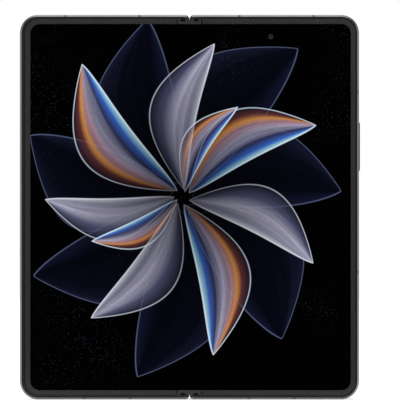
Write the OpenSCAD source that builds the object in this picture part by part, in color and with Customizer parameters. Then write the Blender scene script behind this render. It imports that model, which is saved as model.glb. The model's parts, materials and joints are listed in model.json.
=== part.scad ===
// Foldable smartphone, unfolded and upright, with its inner display facing -Y.
// X runs across the two halves, Y runs from the inner display to the back, Z is up.
// The origin is on the fold line, at mid thickness, on the bottom edge.
// The right half (+X) carries the keys and rear cameras, the left half the cover display.

/* [Body] */
// Width of one half, from the fold line to its outer edge
half_w = 70.3; // [69:0.1:74]
// Height of the phone
body_h = 159.4; // [157:0.1:164]
// Outer corner radius of the frame
corner_r = 7.6; // [5.6:0.1:8]
// Thickness of one half, from the inner bezel to the back glass
body_t = 6.9; // [6.9:0.05:7.2]
// Wall of the frame at the rails
rail_w = 2.0; // [1.9:0.05:2.2]
// Rounding of the outer edges of the rails
rail_round = 0.9; // [0.7:0.05:1.1]

/* [Inner display] */
// Distance from the top and bottom edges to the visible display
display_inset = 3.9; // [3.6:0.1:4.4]
// Distance from the right side of the main half to the visible display
main_side_inset = 3.5; // [3.3:0.1:4.2]
// Distance from the left side of the cover half to the visible display
cover_side_inset = 4.4; // [3.6:0.1:4.6]
// Corner radius of the visible display
display_corner_r = 4.0; // [2.6:0.1:4.4]
// Distance from the fold line at which the rigid bezel ends
fold_half_w = 5.2; // [5.0:0.05:5.6]
// Distance of the inner camera from the fold line
selfie_x = 33.7; // [28:0.1:40]
// Distance of the inner camera below the top edge
selfie_drop = 9.1; // [8.4:0.1:9.4]

/* [Rear cameras] */
// Radius of the camera island
island_r = 19.5; // [18.5:0.1:21]
// Height of the camera island over the back glass
island_rise = 1.8; // [1.4:0.1:1.9]
// Distance of the island's centre from the fold line
island_x = 37; // [35:0.5:40]
// Distance of the island's centre below the top edge
island_drop = 30.4; // [29:0.1:31.5]
// Distance of each lens from the island's centre
lens_ring_r = 9.6; // [9.2:0.1:10.2]
// Radius of each rear lens glass
lens_r = 5.2; // [4.6:0.1:5.4]

/* [Keys and ports] */
// Length of the volume key
volume_len = 20.1; // [16:0.1:24]
// Distance of the volume key's centre below the top edge
volume_drop = 54.6; // [51.4:0.1:57.4]
// Height of the volume key's face over the frame
volume_rise = 0.5; // [0.3:0.05:0.6]
// Length of the power key
power_len = 14; // [10:0.5:16]
// Distance of the power key's centre below the top edge
power_drop = 79.4; // [75.9:0.5:83.4]
// Width of both keys across the thickness of the frame
key_w = 1.9; // [1.6:0.1:2.2]
// Distance of the charging port from the fold line
port_x = 34; // [32:0.5:36]
// Height of the SIM tray's centre
tray_z = 46; // [40:1:52]
// Width of the SIM tray
tray_w = 15; // [14:0.5:16]

/* [Hinge] */
// Distance of each hinge axis from the fold line
axis_x = 3.0; // [3.0:0.01:3.1]
// Radius of the hinge shafts
shaft_r = 0.45; // [0.4:0.01:0.48]
// Radial clearance of a shaft or pin in its bore
bore_gap = 0.05; // [0.03:0.01:0.08]
// Radius of the idler pins
pin_r = 0.3; // [0.25:0.01:0.34]
// Distance of the outer hinge modules from the top and bottom edges
module_inset = 22; // [18:0.5:26]

/* [Hidden] */
$fn = 48;

// Layers through the thickness, from the inner display (-Y) to the back (+Y)
bezel_y = -body_t / 2;
display_y = bezel_y + 0.4;
plate_y = display_y + 0.75;
wing_back_y = plate_y + 0.3;
plate_back_y = plate_y + 0.8;
glass_t = 0.8;
back_y = body_t / 2;
glass_y = back_y - glass_t;
rail_front_y = bezel_y + 0.3;
rail_back_y = back_y - 0.3;

// Gap between the closed halves, and half the gap between their backs when open
closed_gap = 0.4;
edge_gap = 0.2;
axis_y = axis_x - body_t / 2 - closed_gap / 2;
// Small allowances
cut = 1;
fit = 0.05;
lip_w = 1.1;
key_gap = 0.12;

// Insides of the two halves
in_x = half_w - rail_w;
in_top = body_h - rail_w;
flex_reach = 9.5;
comp_y = plate_back_y;
comp_back_y = glass_y - 0.15;

// Bay for the electronics of either half, between the hinge arms and the keys
bay_in_x = 11;
bay_out_x = half_w - 5.2;
bay_mid_x = (bay_in_x + bay_out_x) / 2;
board_t = 0.8;
gap = 2;

// Main board, an L around the rear cameras, and the board at the port
board_top = body_h - 6;
board_z = board_top - 56;
board_step_z = board_z + 16.5;
board_leg_x = bay_in_x + 10;
sub_z = 3;
sub_top = sub_z + 26.5;
battery_z = sub_top + gap;

// SIM tray with its socket, and the boards and battery of the cover half around it
tray_t = 1.5;
tray_len = 16;
socket_wall = 0.8;
socket_x = in_x - 0.2 - tray_len - 1;
cover_low_z = 4;
cover_low_top = tray_z - tray_w / 2 - socket_wall - gap;
cover_high_z = body_h - 31;
cover_high_top = body_h - 14;

// Hinge: spine shell, wing plates, gears
spine_r = glass_y - axis_y - 0.2;
spine_wall = 0.6;
spine_z = rail_w + 0.1;
spine_lip_y = -1.4;
plate_x = 6.5;
wing_x = 1.2;
wing_flange_x = 9;
module_z = [module_inset, body_h / 2, body_h - module_inset];
module_half = 7;
cheek_t = 2;
gear_half = 1.4;
pitch_r = axis_x / 3;
teeth = 10;
idler_x = pitch_r;
hub_r = 0.95;
arm_w = 3;
arm_reach = bay_in_x - 0.3;
arm_z = 1.8;
block_y0 = -1.9;
wing_clear = 0.25;

// Keys: caps in the right rail with a flange behind them
volume_z = body_h - volume_drop;
power_z = body_h - power_drop;
key_flange = 0.6;
key_flange_gap = 0.3;
key_in_x = in_x - key_flange - key_flange_gap;
// The dome switches stand this far off the keys
key_travel = 0.27;
dome_t = 0.55;
switch_strip_t = 0.25;

// USB receptacle
usb_w = 8.34;
usb_t = 2.56;
usb_wall = 0.3;
usb_depth = 6.2;
usb_y = 0.15;
usb_z = 0.4;

function arc(cx, cy, r, a0, a1, n = 6) =
  [for (i = [0:n]) let (a = a0 + (a1 - a0) * i / n) [cx + r * cos(a), cy + r * sin(a)]];

// Outline of one half in X and Z, inset by u, with its fold side at x0
function half_outline(x0, u, r, r0 = 0) = concat(
  r0 > 0 ? arc(x0 + r0, u + r0, r0, 180, 270) : [[x0, u]],
  arc(half_w - u - r, u + r, r, -90, 0),
  arc(half_w - u - r, body_h - u - r, r, 0, 90),
  r0 > 0 ? arc(x0 + r0, body_h - u - r0, r0, 90, 180) : [[x0, body_h - u]]);

// Outline of a C-shaped strip around one half, from inset u0 to u1, or to side at the outer side
function strip_outline(x0, u0, r0, u1, side, r1) = concat(
  [[x0, u0]],
  arc(half_w - u0 - r0, u0 + r0, r0, -90, 0),
  arc(half_w - u0 - r0, body_h - u0 - r0, r0, 0, 90),
  [[x0, body_h - u0], [x0, body_h - u1]],
  arc(half_w - side - r1, body_h - u1 - r1, r1, 90, 0),
  arc(half_w - side - r1, u1 + r1, r1, 0, -90),
  [[x0, u1]]);

// A sheet with its outline in X and Z, between y0 and y1
module sheet(points, y0, y1)
  translate([0, y1, 0]) rotate([90, 0, 0]) linear_extrude(y1 - y0) polygon(points);

// A box given by two corners
module block(a, b) translate(a) cube(b - a);

// A round bar or hole along Y
module round_y(x, z, r, y0, y1)
  translate([x, y1, z]) rotate([90, 0, 0]) cylinder(h = y1 - y0, r = r);

// A profile of [inset, y] points swept around the three outer sides of one half
module sweep_rim(profile, x0) {
  r = corner_r;
  translate([0, 0, r]) linear_extrude(body_h - 2 * r)
    polygon([for (p = profile) [half_w - p[0], p[1]]]);
  translate([x0, 0, 0]) rotate([90, 0, 90]) linear_extrude(half_w - r - x0)
    polygon([for (p = profile) [p[1], p[0]]]);
  translate([x0, 0, 0]) rotate([90, 0, 90]) linear_extrude(half_w - r - x0)
    polygon([for (p = profile) [p[1], body_h - p[0]]]);
  for (end = [0, 1])
    translate([half_w - r, 0, end ? body_h - r : r]) rotate([90, 0, 0])
      rotate([0, 0, end ? 0 : -90]) rotate_extrude(angle = 90)
        polygon([for (p = profile) [r - p[0], -p[1]]]);
}

// ---- Shapes that both halves share, drawn on the +X side ----

rail_profile = concat(
  arc(rail_round, rail_front_y + rail_round, rail_round, 180, 270, 4),
  [[lip_w, rail_front_y], [lip_w, plate_y], [rail_w, plate_y], [rail_w, glass_y],
   [lip_w, glass_y], [lip_w, rail_back_y]],
  arc(rail_round, rail_back_y - rail_round, rail_round, 90, 180, 4));

// Rounds the fold-side ends of the rails, so that the halves roll past each other
module fold_end_cuts() {
  r = axis_x - edge_gap;
  translate([0, 0, -cut]) linear_extrude(body_h + 2 * cut)
    polygon(concat([[-cut, axis_y], [-cut, bezel_y - cut], [axis_x, bezel_y - cut]],
      arc(axis_x, axis_y, r, 270, 180, 8)));
  notch = 1.6;
  for (m = [0, 1]) translate([0, 0, m * body_h]) mirror([0, 0, m])
    sheet(concat([[edge_gap - cut, notch], [edge_gap - cut, -cut], [edge_gap + notch, -cut]],
      arc(edge_gap + notch, notch, notch, 270, 180, 6)), bezel_y - cut, back_y + cut);
}

module rails() difference() {
  sweep_rim(rail_profile, edge_gap);
  fold_end_cuts();
}

band_w = 0.8;
top_bands = [20.7, 51.4];
bottom_bands = [24.5, 43.5];
side_bands = [body_h / 2 - 26.9, body_h - 31.9];

// Slots where the plastic antenna bands cross the rails, as deep as the rails
module band_slots(side) {
  for (x = top_bands)
    block([x - band_w / 2, bezel_y, body_h - rail_w], [x + band_w / 2, back_y, body_h + cut]);
  for (x = bottom_bands)
    block([x - band_w / 2, bezel_y, -cut], [x + band_w / 2, back_y, rail_w]);
  if (side)
    for (z = side_bands)
      block([in_x, bezel_y, z - band_w / 2], [half_w + cut, back_y, z + band_w / 2]);
}

module antenna_bands(side) intersection() {
  rails();
  band_slots(side);
}

module half_plate() difference() {
  sheet(half_outline(plate_x, lip_w + fit, corner_r - lip_w - fit), plate_y, plate_back_y);
  block([plate_x - cut, plate_y - cut, 0], [wing_flange_x + fit, wing_back_y, body_h]);
}

module half_frame(side) difference() {
  union() {
    rails();
    half_plate();
  }
  band_slots(side);
}

module display_half() sheet(
  half_outline(fold_half_w, lip_w + fit, corner_r - lip_w - fit), display_y, plate_y);

module bezel_half(side_inset) {
  u0 = lip_w + fit;
  slope = 0.9;
  seam = 2.6;
  sweep_rim([[u0, display_y], [u0, display_y - 0.07], [u0 + slope, bezel_y],
    [seam, bezel_y], [seam, display_y]], fold_half_w);
  sheet(strip_outline(fold_half_w, seam - 0.3, corner_r - seam + 0.3, display_inset,
    side_inset, display_corner_r), bezel_y, display_y);
}

module cover_sheet() {
  edge = 0.35;
  sheet(half_outline(edge_gap, lip_w + fit, corner_r - lip_w - fit, 1.2), glass_y, back_y - edge);
  sheet(half_outline(edge_gap + fit, lip_w + edge, corner_r - lip_w - edge, 1.2),
    back_y - edge, back_y);
}

module wing_plate() difference() {
  block([wing_x, plate_y, 2 * rail_w], [wing_flange_x, wing_back_y, body_h - 2 * rail_w]);
  for (z = module_z)
    block([wing_x - cut, plate_y - cut, z - module_half - wing_clear],
      [plate_x - 0.2, wing_back_y + cut, z + module_half + wing_clear]);
}

// Arms that carry one half, two on each shaft, screwed behind the inner plate
module hinge_arms() for (z = module_z) for (s = [-1, 1])
  difference() {
    z0 = z + (s > 0 ? arm_z : -arm_z - arm_w);
    union() {
      translate([axis_x, axis_y, z0]) cylinder(h = arm_w, r = hub_r);
      block([axis_x, axis_y - 0.55, z0], [arm_reach, axis_y + 0.55, z0 + arm_w]);
      block([plate_x + 0.3, plate_back_y, z0], [arm_reach, axis_y, z0 + arm_w]);
    }
    translate([axis_x, axis_y, z0 - cut]) cylinder(h = arm_w + 2 * cut, r = shaft_r + 0.02);
  }

// Outline of a pinion; phase is the angle of one tooth
function gear_points(phase) = [for (i = [0:teeth - 1]) for (p = gear_tooth)
  let (a = phase + i * 360 / teeth + p[1]) [p[0] * cos(a), p[0] * sin(a)]];
gear_tooth = [[pitch_r * 0.8, -9], [pitch_r * 0.98, -6.5], [pitch_r * 1.15, -3],
  [pitch_r * 1.15, 3], [pitch_r * 0.98, 6.5], [pitch_r * 0.8, 9]];

module gear(x, phase) for (z = module_z)
  translate([x, axis_y, z - gear_half]) linear_extrude(2 * gear_half) polygon(gear_points(phase));

module pinion_shafts(phase) {
  for (z = module_z)
    translate([axis_x, axis_y, z - module_half]) cylinder(h = 2 * module_half, r = shaft_r);
  gear(axis_x, phase);
}

module idler_gear(x, phase) difference() {
  gear(x, phase);
  translate([x, axis_y, 0]) cylinder(h = body_h, r = pin_r + bore_gap);
}

// Screw positions, each [x, z], a little inside the corners of the boards
screw_in = 2.6;
screw_x = [bay_in_x + screw_in, bay_out_x - screw_in];
main_screw_at = [[screw_x[0], board_step_z - screw_in], [screw_x[1], board_step_z - screw_in],
  [screw_x[0], board_top - screw_in], [screw_x[0], sub_z + screw_in],
  [screw_x[0], sub_top - screw_in], [screw_x[1], sub_top - screw_in]];
cover_screw_at = [[screw_x[0], cover_high_z + screw_in], [screw_x[1], cover_high_top - screw_in],
  [screw_x[0], cover_high_top + gap], [screw_x[0], cover_low_z + screw_in],
  [screw_x[1], cover_low_z + screw_in], [screw_x[1], cover_low_top - screw_in]];
screw_r = 0.6;
screw_head_r = 1.1;

module screws(at) for (p = at) {
  round_y(p[0], p[1], screw_r, plate_y + 0.1, comp_y + board_t);
  round_y(p[0], p[1], screw_head_r, comp_y + board_t, comp_y + board_t + 0.5);
}

module screw_holes(at) for (p = at)
  round_y(p[0], p[1], screw_r + fit, display_y, comp_y + board_t + cut);

// ---- Right half: frame, covers, display ----

module key_slot(z, len) {
  r = key_w / 2 + key_gap;
  half = len / 2 + key_gap;
  translate([in_x - cut, 0, z]) rotate([90, 0, 90]) linear_extrude(rail_w + 2 * cut)
    polygon(concat(arc(0, half - r, r, 0, 180), arc(0, r - half, r, 180, 360)));
}

function stadium(w, t) = concat(
  arc(w / 2 - t / 2, 0, t / 2, -90, 90), arc(t / 2 - w / 2, 0, t / 2, 90, 270));

speaker_x = port_x + 14;
module main_frame() color("gray") difference() {
  half_frame(true);
  key_slot(volume_z, volume_len);
  key_slot(power_z, power_len);
  translate([port_x, usb_y, -cut]) linear_extrude(rail_w + 2 * cut)
    polygon(stadium(usb_w + 2 * usb_wall + fit, usb_t + 2 * usb_wall + fit));
  for (i = [0:5])
    translate([speaker_x + i * 1.9, usb_y, -cut]) cylinder(h = rail_w + 2 * cut, r = 0.55);
  translate([port_x - 14, usb_y, -cut]) cylinder(h = rail_w + 2 * cut, r = 0.4);
  round_y(selfie_x, body_h - selfie_drop, 2.3, display_y, plate_back_y + cut);
  screw_holes(main_screw_at);
}

module main_antenna_bands() color("dimgray") antenna_bands(true);

lens_at = [for (a = [90, 210, 330])
  [island_x + lens_ring_r * cos(a), body_h - island_drop + lens_ring_r * sin(a)]];
flash_at = [island_x, body_h - island_drop - 12.4];
flash_r = 2;
island_y = back_y + island_rise;
glass_step = 0.25;

module back_glass() color("slategray") difference() {
  cover_sheet();
  for (p = lens_at) round_y(p[0], p[1], lens_r + 0.1, glass_y - cut, back_y + cut);
  round_y(flash_at[0], flash_at[1], flash_r + 0.1, glass_y - cut, back_y + cut);
}

module camera_island() color("silver") difference() {
  round_y(island_x, body_h - island_drop, island_r, back_y, island_y);
  for (p = lens_at) round_y(p[0], p[1], lens_r + fit, back_y - cut, island_y + cut);
  round_y(flash_at[0], flash_at[1], flash_r + fit, back_y - cut, island_y + cut);
}

module camera_lenses() color("black") for (p = lens_at)
  round_y(p[0], p[1], lens_r, island_y - glass_step - 0.6, island_y - glass_step);

module camera_modules() color("darkslategray") for (p = lens_at) {
  side = 12.5;
  block([p[0] - side / 2, comp_y, p[1] - side / 2], [p[0] + side / 2, glass_y - 0.25, p[1] + side / 2]);
  round_y(p[0], p[1], lens_r - 0.4, glass_y - 0.25, island_y - glass_step - 0.6);
}

module flash_lens() color("ivory")
  round_y(flash_at[0], flash_at[1], flash_r, glass_y, island_y - glass_step);

module selfie_hole(r)
  round_y(selfie_x, body_h - selfie_drop, r, bezel_y, plate_back_y + cut);

module inner_display_right() color("black") difference() {
  display_half();
  selfie_hole(1.95);
}

module inner_bezel_right() color([0.19, 0.19, 0.19]) bezel_half(main_side_inset);

module inner_camera() color([0.1, 0.12, 0.15]) {
  z = body_h - selfie_drop;
  round_y(selfie_x, z, 1.9, display_y + 0.05, comp_y);
  block([selfie_x - 3, comp_y, z - 3], [selfie_x + 3, comp_y + 2.4, z + 3]);
}

// ---- Right half: electronics ----

module main_board() color("darkgreen") difference() {
  sheet([[bay_in_x, board_z], [bay_out_x, board_z], [bay_out_x, board_step_z],
    [board_leg_x, board_step_z], [board_leg_x, board_top], [bay_in_x, board_top]],
    comp_y, comp_y + board_t);
  screw_holes(main_screw_at);
}

module board_shields() color("lightgray") {
  y0 = comp_y + board_t;
  rise = 1.4;
  block([board_leg_x + gap, y0, board_z + gap], [bay_mid_x, y0 + rise, board_step_z - 3 * gap]);
  block([bay_mid_x + gap, y0, board_z + gap], [bay_out_x - gap, y0 + rise, board_step_z - 3 * gap]);
  block([bay_in_x + 1, y0, board_step_z + gap], [board_leg_x - 1, y0 + rise, board_top - 3 * gap]);
}

coil_t = 0.3;
battery_x = [bay_in_x + 1.5, bay_out_x - 0.5];
module main_battery() color([0.2, 0.2, 0.22])
  block([battery_x[0], comp_y, battery_z], [battery_x[1], comp_back_y - coil_t, board_z - gap]);

module charging_coil() color("chocolate") difference() {
  z = (battery_z + board_z - gap) / 2;
  round_y(bay_mid_x, z, 21, comp_back_y - coil_t, comp_back_y);
  round_y(bay_mid_x, z, 11, comp_back_y - cut, comp_back_y + cut);
}

module usb_shell() color("lightgray") difference() {
  translate([port_x, usb_y, usb_z]) linear_extrude(usb_depth + usb_wall)
    polygon(stadium(usb_w + 2 * usb_wall, usb_t + 2 * usb_wall));
  translate([port_x, usb_y, usb_z - cut]) linear_extrude(usb_depth + cut)
    polygon(stadium(usb_w, usb_t));
}

module usb_tongue() color("black")
  block([port_x - 3.35, usb_y - 0.35, usb_z + 0.8], [port_x + 3.35, usb_y + 0.35, usb_z + usb_depth]);

module sub_board() color("darkgreen") difference() {
  notch = usb_w / 2 + gap;
  notch_z = usb_z + usb_depth + gap;
  sheet([[bay_in_x, sub_z], [port_x - notch, sub_z], [port_x - notch, notch_z],
    [port_x + notch, notch_z], [port_x + notch, sub_z], [bay_out_x, sub_z],
    [bay_out_x, sub_top], [bay_in_x, sub_top]], comp_y, comp_y + board_t);
  screw_holes(main_screw_at);
}

module loudspeaker() color([0.15, 0.15, 0.16])
  block([speaker_x - 3, comp_y + board_t, sub_z + 1], [speaker_x + 11, comp_back_y, sub_z + 18]);

module vibration_motor() color("silver")
  block([bay_in_x + 6, comp_y + board_t, sub_z + 9], [bay_in_x + 15, comp_back_y - 0.4, sub_z + 18]);

module key_switches() color("darkgoldenrod") {
  strip_x = key_in_x - key_travel - dome_t - switch_strip_t;
  block([strip_x, -1.1, power_z - 9], [strip_x + switch_strip_t, 1.3, volume_z + 12]);
  for (z = [power_z, volume_z - 6.5, volume_z + 6.5])
    translate([strip_x + switch_strip_t, 0, z]) rotate([0, 90, 0]) cylinder(h = dome_t, r = 1.1);
}

magnet_z = [power_z - 17, body_h - 26];
module magnets() for (z = magnet_z)
  block([in_x - 1.9, comp_y, z - 5], [in_x, comp_y + 2, z + 5]);

module main_magnets() color("lightsteelblue") magnets();
module main_screws() color("silver") screws(main_screw_at);
module hinge_arms_right() color("lightgray") hinge_arms();
module pinion_shafts_right() color("silver") pinion_shafts(180 + 180 / teeth);
module wing_plate_right() color("darkgray") wing_plate();

// ---- Keys ----

module key(z, len, rise, colour) color(colour) {
  r = key_w / 2;
  translate([key_in_x + key_flange - fit, 0, z]) rotate([90, 0, 90])
    linear_extrude(half_w + rise - key_in_x - key_flange + fit)
      polygon(concat(arc(0, len / 2 - r, r, 0, 180), arc(0, r - len / 2, r, 180, 360)));
  block([key_in_x, -key_w / 2 - 0.3, z - len / 2 - 0.6],
    [key_in_x + key_flange, key_w / 2 + 0.3, z + len / 2 + 0.6]);
}

module volume_key() key(volume_z, volume_len, volume_rise, "gray");
module power_key() key(power_z, power_len, 0.05, "dimgray");

// ---- Spine ----

spine_top = body_h - spine_z;
// Outline of the spine shell's outer or inner face, open to -Y
function spine_outline(r) = concat(
  [[axis_x + r, spine_lip_y]], arc(axis_x, axis_y, r, 0, 90, 8),
  arc(-axis_x, axis_y, r, 90, 180, 8), [[-axis_x - r, spine_lip_y]]);

module spine_cover() color("dimgray") difference() {
  translate([0, 0, spine_z]) linear_extrude(spine_top - spine_z) difference() {
    polygon(spine_outline(spine_r));
    polygon(concat([[axis_x + spine_r - spine_wall, spine_lip_y - cut]],
      spine_outline(spine_r - spine_wall), [[-axis_x - spine_r + spine_wall, spine_lip_y - cut]]));
  }
  for (z = module_z) for (s = [-1, 1]) {
    zc = z + s * (arm_z + arm_w / 2);
    block([-half_w, spine_lip_y - cut, zc - arm_w / 2 - 0.3], [half_w, axis_y + 1.2, zc + arm_w / 2 + 0.3]);
  }
  block([-half_w, spine_lip_y - cut, flex_z - 6.5], [half_w, axis_y + 1.2, flex_z + 6.5]);
}
flex_z = 52;

// Filler outline inside the spine shell, clear of both halves at every angle
function spine_core() = [[-axis_x - 1.6, block_y0], [axis_x + 1.6, block_y0], [axis_x + 2.1, axis_y],
  [axis_x + 1.2, glass_y - 1.3], [axis_x, glass_y - 0.8], [-axis_x, glass_y - 0.8],
  [-axis_x - 1.2, glass_y - 1.3], [-axis_x - 2.1, axis_y]];

module spine_end_caps() color("dimgray") for (z = [spine_z + 0.4, spine_top - 1.6])
  translate([0, 0, z]) linear_extrude(1.2) polygon(spine_core());

module hinge_blocks() color("silver") difference() {
  for (z = module_z) {
    for (s = [-1, 1]) translate([0, 0, z + s * (module_half - cheek_t / 2) - cheek_t / 2])
      linear_extrude(cheek_t) polygon(spine_core());
    block([-axis_x, axis_y + 1.35, z - module_half], [axis_x, glass_y - 0.8, z + module_half]);
  }
  for (s = [-1, 1]) {
    translate([s * axis_x, axis_y, 0]) cylinder(h = body_h, r = shaft_r + bore_gap);
    translate([s * idler_x, axis_y, 0]) cylinder(h = body_h, r = pin_r);
  }
}

module idler_pins() color("silver") for (z = module_z) for (s = [-1, 1])
  translate([s * idler_x, axis_y, z - module_half]) cylinder(h = 2 * module_half, r = pin_r);

// A stack of thin dished washers on the idler pins keeps the fold at any angle
module disc_springs() color("goldenrod") for (z = module_z) for (s = [-1, 1]) for (i = [0:3])
  translate([s * idler_x, axis_y, z + 1.9 + i * 0.75]) difference() {
    cylinder(h = 0.5, r = 0.85);
    translate([0, 0, -cut]) cylinder(h = 0.5 + 2 * cut, r = pin_r + 0.02);
  }

module fold_support_plate() color("darkgray") {
  half = 0.7;
  rib = 0.3;
  block([-half, plate_y, 2 * rail_w], [half, wing_back_y, body_h - 2 * rail_w]);
  for (z = [5, body_h * 0.23, body_h * 0.68, body_h - 8.6])
    block([-rib, wing_back_y, z], [rib, glass_y - 0.8, z + 3.6]);
}

module inner_display_fold() color("black")
  block([-fold_half_w, display_y, display_inset - 1.5], [fold_half_w, plate_y, body_h - display_inset + 1.5]);

guard_w = 1.85;
module fold_guard(z) color([0.23, 0.23, 0.23])
  block([-fold_half_w, display_y - 0.15, z], [fold_half_w, display_y, z + guard_w]);
module fold_guard_top() fold_guard(body_h - display_inset);
module fold_guard_bottom() fold_guard(display_inset - guard_w);

module hinge_flex() color("peru")
  block([-flex_reach, axis_y + 0.35, flex_z - 6], [flex_reach, axis_y + 0.5, flex_z + 6]);

module idler_gear_right() color("silver") idler_gear(idler_x, 0);
module idler_gear_left() color("silver") idler_gear(-idler_x, 180 / teeth);

// ---- Left half ----

module cover_frame() color("gray") mirror([1, 0, 0]) difference() {
  half_frame(false);
  translate([in_x - cut, -tray_t / 2 - 0.1, tray_z - tray_w / 2 - 0.1])
    cube([rail_w + 2 * cut, tray_t + 0.2, tray_w + 0.2]);
  translate([in_x - cut, 0, tray_z + tray_w / 2 + 2.4]) rotate([0, 90, 0])
    cylinder(h = rail_w + 2 * cut, r = 0.45);
  for (i = [0:3])
    translate([30.5 + i * 1.9, usb_y, in_top - cut]) cylinder(h = rail_w + 2 * cut, r = 0.55);
  screw_holes(cover_screw_at);
}

module cover_antenna_bands() color("dimgray") mirror([1, 0, 0]) antenna_bands(false);

cover_mid_x = half_w / 2;
cover_camera_at = [-cover_mid_x, body_h - 8.6];
slit_w = 6.6;
module cover_glass() color("black") difference() {
  mirror([1, 0, 0]) cover_sheet();
  block([-cover_mid_x - slit_w / 2, glass_y - cut, body_h - 3],
    [-cover_mid_x + slit_w / 2, back_y + cut, body_h - 2.6]);
}

module cover_display() color([0.05, 0.05, 0.06]) mirror([1, 0, 0]) difference() {
  sheet(half_outline(7, 3.2, 3.4, 2), glass_y - 0.7, glass_y);
  round_y(-cover_camera_at[0], cover_camera_at[1], 2.1, glass_y - cut - 0.7, glass_y + cut);
}

module cover_camera() color([0.1, 0.12, 0.15]) {
  round_y(cover_camera_at[0], cover_camera_at[1], 2, glass_y - 0.7, glass_y);
  block([cover_camera_at[0] - 3, comp_y, cover_camera_at[1] - 3],
    [cover_camera_at[0] + 3, glass_y - 0.7, cover_camera_at[1] + 3]);
}

module earpiece() color([0.15, 0.15, 0.16])
  block([-cover_mid_x - 5.8, comp_y, body_h - 5.4], [-cover_mid_x + 5.8, glass_y - 0.9, body_h - 2.2]);

module second_battery() color([0.2, 0.2, 0.22])
  block([gap - socket_x, comp_y, cover_low_top + gap], [-battery_x[0], glass_y - 1, cover_high_z - gap]);

module cover_board() color("darkgreen") mirror([1, 0, 0]) difference() {
  leg_x = bay_in_x + 7;
  union() {
    sheet([[bay_in_x, cover_high_z], [bay_out_x, cover_high_z], [bay_out_x, cover_high_top],
      [leg_x, cover_high_top], [leg_x, body_h - 5], [bay_in_x, body_h - 5]],
      comp_y, comp_y + board_t);
    sheet([[bay_in_x, cover_low_z], [bay_out_x, cover_low_z], [bay_out_x, cover_low_top],
      [bay_in_x, cover_low_top]], comp_y, comp_y + board_t);
  }
  screw_holes(cover_screw_at);
}

module cover_shields() color("lightgray") {
  y0 = comp_y + board_t;
  rise = 1.4;
  block([-cover_mid_x - 18, y0, cover_high_z + gap], [-cover_mid_x + 4, y0 + rise, cover_high_top - gap]);
  block([-cover_mid_x - 14, y0, cover_low_z + gap], [-cover_mid_x + 12, y0 + rise, cover_low_top - 8]);
}

module cover_magnets() color("lightsteelblue") mirror([1, 0, 0]) magnets();

module cover_screws() color("silver") mirror([1, 0, 0]) screws(cover_screw_at);
module inner_display_left() color("black") mirror([1, 0, 0]) display_half();
module inner_bezel_left() color([0.19, 0.19, 0.19]) mirror([1, 0, 0])
  bezel_half(cover_side_inset);
module hinge_arms_left() color("lightgray") mirror([1, 0, 0]) hinge_arms();
module pinion_shafts_left() color("silver") mirror([1, 0, 0]) pinion_shafts(180);
module wing_plate_left() color("darkgray") mirror([1, 0, 0]) wing_plate();

module sim_socket() color("lightgray") mirror([1, 0, 0]) difference() {
  half = tray_w / 2;
  slack = 0.15;
  block([socket_x, comp_y, tray_z - half - socket_wall],
    [in_x - 0.2, tray_t / 2 + 0.5, tray_z + half + socket_wall]);
  block([socket_x + 0.4, -tray_t / 2 - slack, tray_z - half - slack],
    [in_x + cut, tray_t / 2 + slack, tray_z + half + slack]);
}

module sim_tray() color("gray") mirror([1, 0, 0]) difference() {
  block([half_w - tray_len, -tray_t / 2, tray_z - tray_w / 2], [half_w, tray_t / 2, tray_z + tray_w / 2]);
  block([half_w - tray_len + 1.2, -tray_t / 2 + 0.3, tray_z - tray_w / 2 + 1.2],
    [half_w - tray_len + 13.5, tray_t, tray_z + tray_w / 2 - 1.6]);
}

main_frame();
main_antenna_bands();
back_glass();
camera_island();
camera_lenses();
camera_modules();
flash_lens();
inner_display_right();
inner_bezel_right();
inner_camera();
main_board();
board_shields();
main_battery();
charging_coil();
usb_shell();
usb_tongue();
loudspeaker();
sub_board();
vibration_motor();
key_switches();
main_magnets();
main_screws();
hinge_arms_right();
pinion_shafts_right();
wing_plate_right();
volume_key();
power_key();
spine_cover();
spine_end_caps();
hinge_blocks();
idler_pins();
disc_springs();
fold_support_plate();
inner_display_fold();
fold_guard_top();
fold_guard_bottom();
hinge_flex();
idler_gear_right();
idler_gear_left();
cover_frame();
cover_antenna_bands();
cover_glass();
cover_display();
cover_camera();
earpiece();
second_battery();
cover_board();
cover_shields();
cover_magnets();
cover_screws();
inner_display_left();
inner_bezel_left();
hinge_arms_left();
pinion_shafts_left();
wing_plate_left();
sim_socket();
sim_tray();
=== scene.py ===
"""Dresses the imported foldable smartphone. Lengths are in millimetres; X, Y and Z are the part's."""

import json
import math
from functools import partial

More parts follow.
